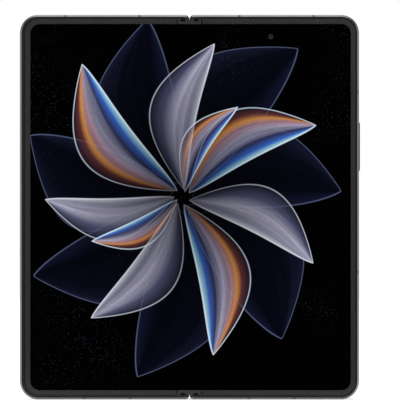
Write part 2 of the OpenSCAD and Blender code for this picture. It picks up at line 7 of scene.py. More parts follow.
import bmesh
import bpy
import numpy as np
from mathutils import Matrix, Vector


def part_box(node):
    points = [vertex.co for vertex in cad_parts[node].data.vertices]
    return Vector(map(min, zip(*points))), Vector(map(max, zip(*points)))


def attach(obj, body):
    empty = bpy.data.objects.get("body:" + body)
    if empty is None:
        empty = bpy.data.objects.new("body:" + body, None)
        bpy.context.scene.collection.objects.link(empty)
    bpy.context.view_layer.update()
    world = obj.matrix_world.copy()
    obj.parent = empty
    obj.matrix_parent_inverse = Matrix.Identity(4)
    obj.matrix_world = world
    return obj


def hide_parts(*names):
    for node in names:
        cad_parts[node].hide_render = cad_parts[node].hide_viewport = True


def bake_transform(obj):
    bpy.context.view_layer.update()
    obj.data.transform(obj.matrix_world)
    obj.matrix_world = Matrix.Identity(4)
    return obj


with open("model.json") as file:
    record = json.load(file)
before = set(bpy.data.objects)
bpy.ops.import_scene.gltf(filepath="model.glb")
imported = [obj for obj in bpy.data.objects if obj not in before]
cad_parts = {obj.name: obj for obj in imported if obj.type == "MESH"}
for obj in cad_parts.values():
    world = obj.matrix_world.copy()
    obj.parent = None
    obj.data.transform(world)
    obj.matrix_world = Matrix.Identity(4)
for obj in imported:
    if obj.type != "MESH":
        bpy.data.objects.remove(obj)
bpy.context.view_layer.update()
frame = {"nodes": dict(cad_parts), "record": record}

# ---- Frame halves ----
# Each half is a C-shaped rail round three sides, milled with its inner plate from one block of
# aluminium, then bead blasted and anodised a graphite grey. The ends at the fold are rounded so
# that the halves roll past each other.

MM = 0.001
OVER = 1.0  # how far a cutting shape reaches past what it cuts
SHARP = 0.02  # radius of a corner that counts as square
WELD = 0.0005  # points closer than this are one
CREASE = math.radians(34)  # faces that meet at more than this keep a sharp edge


def span(name):
    """Lowest and highest corner of a CAD node, in millimetres."""
    low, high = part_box(name)
    return np.array(low) / MM, np.array(high) / MM


def grown(low, high, gap):
    """A range made longer at both ends by gap."""
    return low - gap, high + gap


def sides(name, axes, gap=0.0):
    """Ranges of a CAD node along the given axes, each grown by gap."""
    low, high = span(name)
    return [grown(low[i], high[i], gap) for i in axes]


def arc(u, v, radius, start, end, steps):
    """Points on a circle round (u, v), from the angle start to the angle end in degrees."""
    turn = np.radians(np.linspace(start, end, steps + 1))
    return np.stack([u + radius * np.cos(turn), v + radius * np.sin(turn)], 1)


def stack(loops, ring=False):
    """Skins an array of closed loops with one quad per point and loop, and caps the two ends
    unless the loops form a ring."""
    rows, count = loops.shape[:2]
    index = np.arange(rows * count).reshape(rows, count)
    here = index if ring else index[:-1]
    after = np.roll(index, -1, 0) if ring else index[1:]
    quads = np.stack([here, np.roll(here, -1, 1), np.roll(after, -1, 1), after], 2)
    faces = quads.reshape(-1, 4).tolist()
    if not ring:
        faces += [index[0].tolist(), index[-1][::-1].tolist()]
    return loops.reshape(-1, 3), faces


def prism(outline, axis, low, high):
    """Carries a flat outline from low to high along one axis. The outline holds the other two
    axes in order."""
    ends = [np.insert(outline, axis, level, axis=1) for level in (low, high)]
    return stack(np.stack(ends))


def slab(first, second, corner, profile, axis, steps=10):
    """Rounded rectangle whose sides move in by the inset of each (inset, depth) in profile.
    Depth runs along axis. corner is one radius, or one for each point of a loop."""
    inset, depth = np.array(profile, float).T[:, :, None]
    radius = np.maximum(corner - inset, SHARP)
    quarters = [np.linspace(start, start + 90, steps + 1) for start in (0, 90, 180, 270)]
    turn = np.radians(np.concatenate(quarters))
    right = np.repeat([True, False, False, True], steps + 1)
    upper = np.repeat([True, True, False, False], steps + 1)
    u = np.where(right, first[1] - inset - radius, first[0] + inset + radius)
    v = np.where(upper, second[1] - inset - radius, second[0] + inset + radius)
    parts = [u + radius * np.cos(turn), v + radius * np.sin(turn)]
    parts.insert(axis, np.broadcast_to(depth, parts[0].shape))
    return stack(np.stack(parts, 2))


def turned(centre, profile, axis, steps=48, ring=False):
    """Turns a profile of (radius, depth) round an axis through centre, which holds the other two
    axes in order."""
    radius, depth = np.array(profile, float).T[:, :, None]
    turn = np.linspace(0, 2 * math.pi, steps, endpoint=False)
    parts = [centre[0] + radius * np.cos(turn), centre[1] + radius * np.sin(turn)]
    parts.insert(axis, np.broadcast_to(depth, parts[0].shape))
    return stack(np.stack(parts, 2), ring)


def sweep(profile, start, corner=None, extra=0.0):
    """Carries a profile of (inset, y) round the three outer sides of the right half, from the
    fold side at x = start. A point goes round each corner of the phone with its own radius,
    which is the outer radius less its inset unless corner gives it. extra is what each point's
    inset grows by at the outer side."""
    steps = 24
    inset, y = np.array(profile, float).T
    radius = corner_r - inset if corner is None else np.asarray(corner, float)
    quarters = [np.linspace(first, first + 90, steps + 1) for first in (-90, 0)]
    turn = np.radians(np.concatenate(quarters))[:, None]
    height = np.repeat([[0.0], [1.0]], steps + 1, 0) * (body_h - 2 * (inset + radius))
    x = half_w - inset - extra - radius + radius * np.cos(turn)
    z = height + inset + radius + radius * np.sin(turn)
    edge = np.full((1, len(y)), float(start))
    x = np.vstack([edge, x, edge])
    z = np.vstack([inset[None], z, body_h - inset[None]])
    return stack(np.stack([x, np.broadcast_to(y, x.shape), z], 2))


def merged(parts):
    """One mesh datablock from several (points, faces) pairs, with its faces turned outwards."""
    points, faces, base = [], [], 0
    for xyz, rings in parts:
        points.append(xyz)
        faces += [[base + i for i in ring] for ring in rings]
        base += len(xyz)
    mesh = bpy.data.meshes.new("part")
    mesh.from_pydata((np.vstack(points) * MM).tolist(), [], faces)
    shape = bmesh.new()
    shape.from_mesh(mesh)
    bmesh.ops.remove_doubles(shape, verts=shape.verts, dist=WELD * MM)
    bmesh.ops.dissolve_degenerate(shape, edges=shape.edges, dist=WELD / 5 * MM)
    bmesh.ops.recalc_face_normals(shape, faces=shape.faces)
    shape.to_mesh(mesh)
    shape.free()
    return mesh


def solid(name, parts, finish, body, stands_for=(), cuts=(), side=1):
    """Makes one piece from its parts, less each group of cuts in turn. side -1 mirrors it to the
    left half. body is the CAD body it rides on. A tuple of two bodies and the x at which the piece
    would start and end to bend is not used: such a piece is left unattached, with its rest
    positions stored."""
    flip = np.array([side, 1, 1])
    piece = bpy.data.objects.new(name, merged([(xyz * flip, rings) for xyz, rings in parts]))
    bpy.context.collection.objects.link(piece)
    tools = []
    for group in cuts:
        tool = bpy.data.objects.new("cut", merged([(xyz * flip, rings) for xyz, rings in group]))
        bpy.context.collection.objects.link(tool)
        tools.append(tool)
        cut = piece.modifiers.new("cut", "BOOLEAN")
        cut.operation, cut.solver, cut.object = "DIFFERENCE", "EXACT", tool
    if cuts:
        bpy.context.view_layer.update()
        done = piece.evaluated_get(bpy.context.evaluated_depsgraph_get())
        piece.data = bpy.data.meshes.new_from_object(done)
        piece.modifiers.clear()
        for tool in tools:
            bpy.data.objects.remove(tool)
    mesh = piece.data
    mesh.name = name
    mesh.shade_smooth()
    mesh.set_sharp_from_angle(angle=CREASE)
    mesh.materials.clear()
    mesh.materials.append(finish)
    if isinstance(body, tuple):
        rest = np.empty(len(mesh.vertices) * 3, np.float32)
        mesh.vertices.foreach_get("co", rest)
        place = mesh.attributes.new("rest", "FLOAT_VECTOR", "POINT")
        place.data.foreach_set("vector", rest / MM)
        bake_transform(piece)
    else:
        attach(piece, body)
    if stands_for:
        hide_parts(*stands_for)


def colour(code):
    """Linear RGBA from an sRGB hex code."""
    parts = np.array([int(code[i : i + 2], 16) / 255 for i in (1, 3, 5)])
    linear = np.where(parts <= 0.04045, parts / 12.92, ((parts + 0.055) / 1.055) ** 2.4)
    return (*linear.tolist(), 1.0)


def node(tree, kind, inputs=(), **settings):
    """Adds one shader node. inputs gives what goes into it by name or in order, each a value,
    another node's output, or a node, which stands for its first output."""
    made = tree.nodes.new("ShaderNode" + kind)
    for name, value in settings.items():
        setattr(made, name, value)
    for key, value in inputs.items() if isinstance(inputs, dict) else enumerate(inputs):
        if isinstance(value, bpy.types.Node):
            value = value.outputs[0]
        if isinstance(value, bpy.types.NodeSocket):
            tree.links.new(value, made.inputs[key])
        else:
            made.inputs[key].default_value = value
    return made


def material(name, recipe, *details):
    """A material whose Principled inputs are what recipe(tree, *details) returns."""
    made = bpy.data.materials.new(name)
    made.use_nodes = True
    tree = made.node_tree
    tree.nodes.clear()
    shader = node(tree, "BsdfPrincipled", recipe(tree, *details))
    node(tree, "OutputMaterial", [shader])
    return made


MIX_A, MIX_B, MIX_COLOUR = 6, 7, 2  # places of a colour mix's two colours and of its result


def blasted(tree, dark, light, grit, depth, rough):
    """Random pits one grit wide and depth deep, in mm, set the colour between dark and light and
    the bump. Patches 40 grits wide set the roughness between the two values of rough."""
    place = node(tree, "TexCoord").outputs["Object"]
    pits, patches = (
        node(tree, "TexNoise", {"Vector": place, "Scale": 1 / (width * MM), "Detail": detail})
        for width, detail in ((grit, 3.0), (40 * grit, 2.0))
    )
    colours = {0: pits, MIX_A: colour(dark), MIX_B: colour(light)}
    tone = node(tree, "Mix", colours, data_type="RGBA").outputs[MIX_COLOUR]
    gloss = node(tree, "MapRange", [patches, 0.3, 0.7, *rough])
    bump = node(tree, "Bump", {"Height": pits, "Distance": depth * MM, "Strength": 1.0})
    return {"Base Color": tone, "Roughness": gloss, "Normal": bump}


def anodised_aluminium(tree, dark, light):
    """Bead-blasted and dyed: a satin sheen with a very fine even sparkle."""
    return {**blasted(tree, dark, light, 0.12, 0.0025, (0.36, 0.44)), "Metallic": 1.0}


frame_low, frame_high = span("main_frame")
half_w, body_h = frame_high[0], frame_high[2]
rail_front, rail_back = frame_low[1], frame_high[1]
display_front, plate_y = span("inner_display_right")[0][1], span("inner_display_right")[1][1]
glass_inner, back_face = span("back_glass")[0][1], span("back_glass")[1][1]
axis_x, axis_y = (c / MM for c in frame["record"]["behaviour"]["joints"][0]["pos_m"][:2])
corner_r, rail_w, lip_w, lip_edge = 7.6, 2.0, 1.1, 0.08
rail_round, edge_power = 0.95, 1.12


def soft_edge(base, way):
    """Edge of the rail from its side to a face: a quarter of a superellipse, flatter than a
    circle, as (inset, y)."""
    turn = np.radians(np.linspace(0, 90, 15))
    inset = rail_round * (1 - np.cos(turn) ** (2 / edge_power))
    drop = rail_round * (1 - np.sin(turn) ** (2 / edge_power))
    return np.stack([inset, base - way * drop], 1)


rail_profile = np.concatenate([
    soft_edge(rail_front, -1),
    [[lip_w - lip_edge, rail_front], [lip_w, rail_front + lip_edge], [lip_w, plate_y]],
    [[rail_w, plate_y], [rail_w, glass_inner], [lip_w, glass_inner]],
    [[lip_w, rail_back - lip_edge], [lip_w - lip_edge, rail_back]],
    soft_edge(rail_back, 1)[::-1],
])
# The rails end on a circle round their hinge axis, and their other corners at the fold are rounded
edge_gap, notch_r, end_r = 0.2, 1.6, 0.8
roll_r = axis_x - edge_gap
roll_corners = [[-OVER, axis_y], [-OVER, rail_front - OVER], [axis_x, rail_front - OVER]]
roll_cut = np.concatenate([roll_corners, arc(axis_x, axis_y, roll_r, 270, 180, 24)])
notch_x = edge_gap + notch_r
notch_cut = np.concatenate([
    [[edge_gap - OVER, notch_r], [edge_gap - OVER, -OVER], [notch_x, -OVER]],
    arc(notch_x, notch_r, notch_r, 270, 180, 16),
])
notches = [
    prism(notch_cut * [1, way] + [0, level], 1, rail_front - OVER, back_face + OVER)
    for way, level in ((1, 0), (-1, body_h))
]
back_cut = np.concatenate([
    [[-OVER, back_face + OVER], [-OVER, back_face - end_r]],
    arc(edge_gap + end_r, back_face - end_r, end_r, 180, 90, 16),
    [[edge_gap + end_r, back_face + OVER]],
])
rolled = [prism(outline, 2, -OVER, body_h + OVER) for outline in (roll_cut, back_cut)]

# Slots through the rails for the antenna bands, at the places of the bands' own solids
band_w, band_gap = 0.8, 0.03
top_bands, bottom_bands, side_bands = (20.7, 51.4), (24.5, 43.5), (52.8, body_h - 31.9)


def band_places(side):
    """Each antenna band of one half, as the axis along which it is wide, its place on that axis
    and whether it is at the far end."""
    places = [(0, x, True) for x in top_bands] + [(0, x, False) for x in bottom_bands]
    return places + ([(2, z, True) for z in side_bands] if side > 0 else [])


def band(profile, axis, place, far, width):
    """A slice of the rail, width wide: the rail's (inset, y) profile moved to place along axis 0
    or 2."""
    inset, y = profile.T
    ends = []
    for level in (place - width / 2, place + width / 2):
        along = np.full_like(y, level)
        across = (body_h - inset if far else inset) if axis == 0 else half_w - inset
        ends.append(np.stack([along, y, across] if axis == 0 else [across, y, along], 1))
    return stack(np.stack(ends))


slot_front, slot_back = rail_front - OVER, rail_back + OVER
slot_profile = np.array([
    [-OVER, slot_front], [rail_w, slot_front], [rail_w, slot_back], [-OVER, slot_back],
])
hole_depth = rail_w + OVER


def flared(first, second, corner, outside, way, axis, flare):
    """A stadium-shaped hole through the rail. It is cut from the outside face, inwards in the
    direction of way, with a small chamfer where it opens."""
    opening = [(-flare, outside - way * OVER), (-flare, outside)]
    walls = [(0, outside + way * flare), (0, outside + way * hole_depth)]
    return slab(first, second, corner, opening + walls, axis)


def drilled(centre, radius, outside, way, axis, flare=0.12):
    """The same kind of hole with a round section."""
    opening = [(radius + flare, outside - way * OVER), (radius + flare, outside)]
    walls = [(radius, outside + way * flare), (radius, outside + way * hole_depth)]
    return turned(centre, opening + walls, axis, 24)


# Right half: slots of the two keys, mouth of the port, six speaker holes and the microphone's
key_w, key_gap, flange_edge = 1.9, 0.12, 0.6
key_spans = {name: sides(name, [2], -flange_edge)[0] for name in ("volume_key", "power_key")}
key_slot_w, slot_flare = grown(-key_w / 2, key_w / 2, key_gap), 0.08
right_cuts = [
    flared(key_slot_w, grown(*key_span, key_gap), key_w / 2 + key_gap, half_w, -1, 0, slot_flare)
    for key_span in key_spans.values()
]
port_gap, mouth_r, mouth_flare = 0.03, 1.6, 0.18
right_cuts.append(flared(*sides("usb_shell", (0, 1), port_gap), mouth_r, 0, 1, 2, mouth_flare))
port_x, port_y, _ = np.mean(span("usb_shell"), 0)
speaker_x, mic_x, hole_pitch, hole_r, mic_r = port_x + 14, port_x - 14, 1.9, 0.55, 0.4
bottom_holes = [(speaker_x + i * hole_pitch, hole_r) for i in range(6)] + [(mic_x, mic_r)]
right_cuts += [drilled((x, port_y), radius, 0, 1, 2) for x, radius in bottom_holes]

# Left half: opening and eject hole of the SIM tray, and four earpiece holes
tray_gap, tray_corner, eject_z, eject_r, eject_flare = 0.1, 0.85, 55.9, 0.45, 0.1
earpiece_x = 30.5
left_cuts = [
    flared(*sides("sim_tray", (1, 2), tray_gap), tray_corner, half_w, -1, 0, slot_flare),
    drilled((0, eject_z), eject_r, half_w, -1, 0, eject_flare),
]
left_cuts += [
    drilled((earpiece_x + i * hole_pitch, port_y), hole_r, body_h, -1, 2) for i in range(4)
]

graphite = material("anodised aluminium", anodised_aluminium, "#78797B", "#828385")
plate_in = 9.05
plate_spans = (plate_in, half_w - rail_w), (rail_w, body_h - rail_w)
plate_profile = [(0.0, plate_y), (0.0, span("main_board")[0][1])]
HALVES = ((1, "main", "main_half"), (-1, "cover", "cover_half"))
for side, name, body in HALVES:
    slots = [band(slot_profile, *place, band_w + 2 * band_gap) for place in band_places(side)]
    cuts = [rolled, notches, slots, right_cuts if side > 0 else left_cuts]
    solid(f"{name}_rail", [sweep(rail_profile, edge_gap)], graphite, body,
          [f"{name}_frame"], cuts, side)
    solid(f"{name}_plate", [slab(*plate_spans, corner_r - rail_w, plate_profile, 1)],
          graphite, body, [f"{name}_frame"], side=side)

# ---- Antenna bands ----
# Short bridges of glass-filled nylon, moulded into the slots of the rails and machined flush
# with them, so that the aluminium doesn't shield the antennas.


def moulded_plastic(tree, dark, light, rough):
    """Filled nylon or polycarbonate: matte, with a faint mottle from the filler."""
    return {**blasted(tree, dark, light, 0.3, 0.002, rough), "Metallic": 0.0}


band_low, band_high = [band_gap, rail_front + band_gap], [rail_w, rail_back - band_gap]
band_profile = np.clip(rail_profile, band_low, band_high)
band_plastic = material("glass-filled nylon", moulded_plastic, "#4A4B4E", "#525356", (0.45, 0.55))
for side, name, body in HALVES:
    bands = [band(band_profile, *place, band_w) for place in band_places(side)]
    solid(f"{name}_bands", bands, band_plastic, body,
          [f"{name}_antenna_bands"], side=side)

# ---- Inner bezel ----
# A raised soft lip of thermoplastic polyurethane round the display keeps the two halves apart when
# they close. A near-black gasket fills the groove between it and the metal rim; its colour is partly
# black rubber and partly painted shade of the groove.

bezel_front, fold_half_w = span("inner_bezel_right")[0][1], span("inner_bezel_right")[0][0]
groove_out, lip_out, display_inset, display_corner = 0.84, 2.05, 3.9, 4.0
# Inset of the lip's outer and inner edge at the outer side of each half
side_insets = {1: (1.85, 3.5), -1: (2.4, 4.4)}
groove_y, fit_gap = display_front - 0.05, 0.02
lip_round, inner_round, bezel_gap = 0.28, 0.12, 0.08
gasket_out, gasket_in, gasket_root = lip_w + fit_gap, lip_out + 0.1, rail_w - fit_gap
gasket_face, gasket_back = rail_front + 0.01, axis_y - 0.1
# Round the section: the thin flap on the rim, the groove, then the root inside the rail's wall
gasket_profile = [
    (gasket_out, gasket_back), (gasket_out, gasket_face), (groove_out, gasket_face),
    (groove_out, rail_front - 0.03), (groove_out + 0.05, rail_front - 0.05),
    (gasket_out + 0.02, rail_front - 0.03), (gasket_out + 0.12, groove_y + 0.04),
    (gasket_in, groove_y - 0.02), (gasket_in, plate_y),
    (gasket_root, plate_y), (gasket_root, gasket_back),
]
lip_profile = np.concatenate([
    [[lip_out, display_front]],
    arc(lip_out + lip_round, bezel_front + lip_round, lip_round, 180, 270, 6),
    arc(display_inset - inner_round, bezel_front + inner_round, inner_round, 270, 360, 5),
    [[display_inset, display_front]],
])
lip_edges = [lip_out, display_inset]
lip_corners = np.interp(lip_profile[:, 0], lip_edges, [corner_r - lip_out, display_corner])
# The gasket follows the rounded ends of the rails at the fold, a little proud of them
gasket_proud = 0.03
gasket_cut = np.concatenate([
    roll_corners, arc(axis_x, axis_y, roll_r + gasket_proud, 270, 180, 24),
])
gasket_ends = [prism(gasket_cut, 2, -OVER, body_h + OVER)]
# Small relief pockets beside the fold, cut into the gasket and the guards
pocket_x, pocket_z, pocket_corner = (1.75, 3.7), (1.6, 2.75), 0.35
pocket_profile = [(0, bezel_front - OVER), (0, plate_y - 0.3)]
pockets = [
    slab(pocket_x, heights, pocket_corner, pocket_profile, 1)
    for heights in (pocket_z, (body_h - pocket_z[1], body_h - pocket_z[0]))
]
# The gasket's near-black is partly its own rubber and partly painted shade of the deep groove between
# rim and lip
dark_gasket_and_painted_shade = material("black gasket and painted groove shade", moulded_plastic, "#0A0A0B", "#101011", (0.6, 0.7))
lip_rubber = material("soft-touch polyurethane", moulded_plastic, "#2E2E2F", "#343435", (0.5, 0.6))
for side, name, body in ((1, "right", "main_half"), (-1, "left", "cover_half")):
    solid(f"gasket_{name}", [sweep(gasket_profile, edge_gap)], dark_gasket_and_painted_shade, body,
          cuts=[gasket_ends, notches, pockets], side=side)
    wider = np.interp(lip_profile[:, 0], lip_edges, side_insets[side]) - lip_profile[:, 0]
    lip = sweep(lip_profile, fold_half_w + bezel_gap, lip_corners, wider)
    solid(f"bezel_{name}", [lip], lip_rubber, body, [f"inner_bezel_{name}"],
          side=side)

# ---- Inner display ----
# One laminated film of polyimide over the light-emitting layer, bonded to both inner plates and
# free between them, where it bends. It is shown lit, with a flowing silk-like picture on black.

sheet_inset = lip_w + 0.06
fold_low, fold_high = (corner[2] for corner in span("inner_display_fold"))
crease_depth, fold_steps, flat_steps, bend_steps = 0.03, 26, 12, 16
FOLDING = (
    (-1, "left", ("cover_half", "spine", -fold_half_w, 0.0)),
    (1, "right", ("spine", "main_half", 0.0, fold_half_w)),
)


def display_film():
    """Upright slices of the right half's film, from the fold line outwards. Each slice ends on
    the outline's straight edge or on its corner circle, and the slices near the fold are shorter
    and sink a little, by a raised cosine."""
    radius = corner_r - sheet_inset
    centre = half_w - sheet_inset - radius
    fold = np.linspace(0, fold_half_w, fold_steps)
    flat = np.linspace(fold_half_w + 0.001, centre, flat_steps)
    bend = centre + radius * np.sin(np.radians(np.linspace(0, 88, bend_steps)))[1:]
    x = np.concatenate([fold, flat, bend])
    drop = radius - np.sqrt(np.maximum(radius**2 - np.maximum(x - centre, 0) ** 2, 0))
    low = np.where(x <= fold_half_w, fold_low, sheet_inset + drop)
    high = np.where(x <= fold_half_w, fold_high, body_h - sheet_inset - drop)
    sink = 0.5 + 0.5 * np.cos(np.pi * np.minimum(x / fold_half_w, 1))
    front = display_front + crease_depth * sink
    back = np.full_like(x, plate_y)
    loop = [(front, low), (front, high), (back, high), (back, low)]
    return stack(np.stack([np.stack([x, y, z], 1) for y, z in loop], 1))


# The picture is a pinwheel of silky petals round one point. Each row is a petal: heading in
# degrees, distance of its foot from the point, length, half width and sideways bow in mm, and the
# name of its colours. The rows lie over each other in this order.
PINWHEEL = (-3, 84)
PETALS = [
    (52, 4, 74, 19, 12, "veil"), (101, 5, 70, 17, 12, "veil"), (158, 4, 64, 18, 11, "veil"),
    (208, 4, 66, 17, 12, "veil"), (256, 5, 72, 18, 12, "veil"), (305, 4, 68, 19, 12, "veil"),
    (2, 4, 62, 17, 11, "veil"), (78, 3, 62, 10, 11, "silver"), (181, 3, 54, 9, 9, "silver"),
    (233, 3, 60, 10, 10, "silver"), (333, 3, 58, 10, 10, "silver"), (28, 3, 60, 11, 11, "plume"),
    (127, 3, 66, 12, 12, "plume"), (281, 3, 64, 11, 11, "plume"), (206, 2, 40, 6, 6, "plume"),
    (58, 2, 42, 6, 7, "plume"),
]
# Each colour list runs across a petal: place from 0 to 1, colour, and how much it covers
PETAL_COLOURS = {
    "veil": [
        (0.0, "#23294A", 0.5), (0.25, "#0E1022", 0.35), (0.7, "#14162A", 0.4),
        (1.0, "#262B48", 0.55),
    ],
    "silver": [
        (0.0, "#E3E6F2", 0.95), (0.14, "#8F8FA6", 0.9), (0.42, "#B9B6CC", 0.92),
        (0.68, "#5E6080", 0.85), (1.0, "#16182C", 0.6),
    ],
    "plume": [
        (0.0, "#F2FAFF", 1.0), (0.06, "#9FD8F0", 1.0), (0.14, "#3C6FD0", 0.98),
        (0.26, "#3A3B66", 0.9), (0.46, "#A7A4BD", 0.92), (0.6, "#B08A9A", 0.95),
        (0.72, "#E0964A", 0.98), (0.82, "#6C3A38", 0.85), (1.0, "#141428", 0.55),
    ],
}
# Colour and strength of the line along both edges of a petal
PETAL_LINES = {"veil": ("#7F8BB4", 0.42), "silver": ("#EEF3FC", 0.7), "plume": ("#DDF2FF", 0.9)}
# In mm: how far a petal's edge fades, the line's width and the spacing of the veins along it
EDGE_SOFT, LINE_W, VEIN_W = 0.5, 0.4, 5.5
FOOT_LIGHT, TIP_LIGHT = 0.12, 1.1
# Strands and veins are counted across the width of a petal
STRANDS, STRAND_STRETCH, STRAND_SWAY, STRAND_LIGHT = 11, 0.02, 0.14, (0.62, 1.08)
VEINS, VEIN_COLOUR, VEIN_EDGE, VEIN_COVER = 3.0, "#2A2C48", 0.035, 0.22
SPECKS_PER_MM, SPECK_R, SPECK_SHARE, SPECK_COVER = 1.1, 0.13, 0.2, 0.22


def lit_picture(tree):
    """Petals laid over each other on black. The width of a petal swells and closes like a sine
    over its length, and its centre line bows like half a sine. Its colours run across it, broken
    up by fine strands along it and by veins; it fades towards its foot, and a thin pale line
    follows both edges. Fine dust lies over parts of the black."""
    add = partial(node, tree)
    place = add("Attribute", attribute_name="rest").outputs["Vector"]
    split = add("SeparateXYZ", [place]).outputs
    flat = add("CombineXYZ", [split[0], split[2]])
    layers = []  # each a colour and how much it covers
    for number, (heading, foot, length, half, bow, tones) in enumerate(PETALS):
        turn, reach = math.radians(heading), foot + length / 2
        middle = (PINWHEEL[0] + reach * math.cos(turn), PINWHEEL[1] + reach * math.sin(turn), 0)
        spread = {"Vector": flat, "Location": middle, "Rotation": (0, 0, turn)}
        local = add("Mapping", spread, vector_type="TEXTURE")
        along, across, _ = add("SeparateXYZ", [local]).outputs
        # ratio runs from -0.5 to 0.5 across the petal; inward is the distance from its edge in mm
        swing = add("MapRange", [along, -length / 2, length / 2, 0, math.pi])
        swell = add("Math", [swing], operation="SINE")
        centred = add("Math", [swell, -bow, across], operation="MULTIPLY_ADD")
        fuller = add("Math", [swell, 0.85], operation="POWER")
        width = add("Math", [fuller, 2 * half, 0.01], operation="MULTIPLY_ADD")
        ratio = add("Math", [centred, width], operation="DIVIDE")
        off_centre = add("Math", [ratio], operation="ABSOLUTE")
        depth = add("Math", [0.5, off_centre], operation="SUBTRACT")
        inward = add("Math", [depth, width], operation="MULTIPLY")
        inside = add("Math", [inward, 1 / EDGE_SOFT], operation="MULTIPLY", use_clamp=True)
        rise = add("MapRange", [along, -length / 2, length / 2, FOOT_LIGHT, TIP_LIGHT])
        # Strands are noise stretched along the petal; they push the colours to and fro
        stretched = add("Math", [along, STRAND_STRETCH], operation="MULTIPLY")
        packed = add("Math", [ratio, STRANDS], operation="MULTIPLY")
        strand_place = add("CombineXYZ", [stretched, packed, 13.0 * number])
        strands = add("TexNoise", {"Vector": strand_place, "Scale": 1.0, "Detail": 4.0})
        sway = add("Math", [strands, 0.5], operation="SUBTRACT")
        spot = add("Math", [ratio, 0.5], operation="ADD")
        spot = add("Math", [sway, STRAND_SWAY, spot], operation="MULTIPLY_ADD")
        ramp = add("ValToRGB", [spot])
        stops, tints = ramp.color_ramp.elements, PETAL_COLOURS[tones]
        while len(stops) < len(tints):
            stops.new(0.5)
        for stop, (position, code, cover) in zip(stops, tints):
            stop.position, stop.color = position, (*colour(code)[:3], cover)
        light = add("MapRange", [strands, 0.3, 0.7, *STRAND_LIGHT])
        light = add("Math", [light, rise], operation="MULTIPLY")
        silk = add("Math", [ramp.outputs["Alpha"], light], operation="MULTIPLY")
        silk = add("Math", [silk, inside], operation="MULTIPLY", use_clamp=True)
        layers.append((ramp, silk))
        if tones != "veil":
            lengthwise = add("Math", [along, 1 / VEIN_W], operation="MULTIPLY")
            sideways = add("Math", [ratio, VEINS], operation="MULTIPLY")
            net = {"Vector": add("CombineXYZ", [lengthwise, sideways]), "Scale": 1.0}
            cells = add("TexVoronoi", net, feature="DISTANCE_TO_EDGE", voronoi_dimensions="2D")
            vein = add("MapRange", [cells, 0.0, VEIN_EDGE, VEIN_COVER, 0.0])
            vein = add("Math", [vein, inside], operation="MULTIPLY", use_clamp=True)
            vein = add("Math", [vein, rise], operation="MULTIPLY", use_clamp=True)
            layers.append((colour(VEIN_COLOUR), vein))
        code, strength = PETAL_LINES[tones]
        line = add("Math", [inward, LINE_W], operation="SUBTRACT")
        line = add("Math", [line], operation="ABSOLUTE")
        line = add("Math", [line, LINE_W], operation="DIVIDE")
        line = add("Math", [1.0, line], operation="SUBTRACT", use_clamp=True)
        line = add("Math", [line, strength], operation="MULTIPLY")
        line = add("Math", [line, rise], operation="MULTIPLY", use_clamp=True)
        layers.append((colour(code), line))
    # Dust: a few of many small cells hold a speck, and a broad drift decides where they show
    grid = {"Vector": flat, "Scale": SPECKS_PER_MM}
    cells = add("TexVoronoi", grid, voronoi_dimensions="2D").outputs
    speck = add("Math", [cells["Distance"], SPECK_R], operation="LESS_THAN")
    chance = add("SeparateXYZ", [cells["Color"]])
    rare = add("Math", [chance, 1 - SPECK_SHARE], operation="GREATER_THAN")
    drift = add("TexNoise", {"Vector": flat, "Scale": 0.02, "Detail": 2.0})
    cloud = add("MapRange", [drift, 0.5, 0.7, 0.0, SPECK_COVER])
    dust = add("Math", [speck, rare], operation="MULTIPLY")
    dust = add("Math", [dust, cloud], operation="MULTIPLY", use_clamp=True)
    layers.append((colour("#8E9CC8"), dust))
    picture = colour("#000000")
    for above, cover in layers:
        colours = {0: cover, MIX_A: picture, MIX_B: above}
        picture = add("Mix", colours, data_type="RGBA").outputs[MIX_COLOUR]
    return {
        "Base Color": colour("#020203"),
        "Roughness": 0.12,
        "Specular IOR Level": 0.12,
        "Emission Color": picture,
        "Emission Strength": 1.0,
    }


def bored(spot, radius, low, high, steps=64):
    """A straight hole along Y, from low to high, round spot, which is its (x, z)."""
    return turned(spot, [(radius, low), (radius, high)], 1, steps)


def spot_of(name):
    """The (x, z) of a CAD node's middle."""
    return np.mean(span(name), 0)[[0, 2]]


lit_film = material("lit display under polyimide film", lit_picture)
selfie_spot, selfie_r = spot_of("inner_camera"), 1.45
selfie_hole = bored(selfie_spot, selfie_r, display_front - OVER, plate_y + OVER)
film_cuts = {"left": [], "right": [[selfie_hole]]}
for side, name, bodies in FOLDING:
    solid(f"display_{name}", [display_film()], lit_film, bodies,
          [f"inner_display_{name}", "inner_display_fold"], film_cuts[name], side)

# ---- Guards over the fold ----
# Flexible polyurethane strips that close the display's edge above and below the fold. They bend
# with the film between the stiff bezels, with a narrow slit at each end.

guard_slit, guard_edge_y, guard_edge_z, guard_steps = 0.25, 0.08, 0.1, 18
# Beside the fold line each strip rises as a small nub, and the two nubs leave a V-shaped notch
nub_x, nub_rise = [0, 0.2, 0.35, 1.1], [0, 1.05, 0.95, 0]
guard_rubber = material("clear-coated polyurethane strip", moulded_plastic, "#38383A", "#3E3E40",
                        (0.45, 0.55))
strip_x = np.linspace(nub_x[-1], fold_half_w - guard_slit, guard_steps)[1:]
guard_x = np.concatenate([nub_x, strip_x])
nub = np.interp(guard_x, nub_x, nub_rise)
for level in ("top", "bottom"):
    (_, front, low), (_, _, high) = span(f"fold_guard_{level}")
    low, high = (low, high + nub) if level == "top" else (low - nub, high)
    loop = [
        (front, low + guard_edge_z), (front + guard_edge_y, low), (display_front, low),
        (display_front, high), (front + guard_edge_y, high), (front, high - guard_edge_z),
    ]
    slices = [np.stack(np.broadcast_arrays(guard_x, y, z), 1) for y, z in loop]
    for side, name, bodies in FOLDING:
        solid(f"guard_{level}_{name}", [stack(np.stack(slices, 1))], guard_rubber, bodies,
              [f"fold_guard_{level}"], [pockets], side)

# ---- Inner camera ----
# A small camera behind a hole in the film: a black barrel, a bluish anti-reflection ring and a
# domed lens.


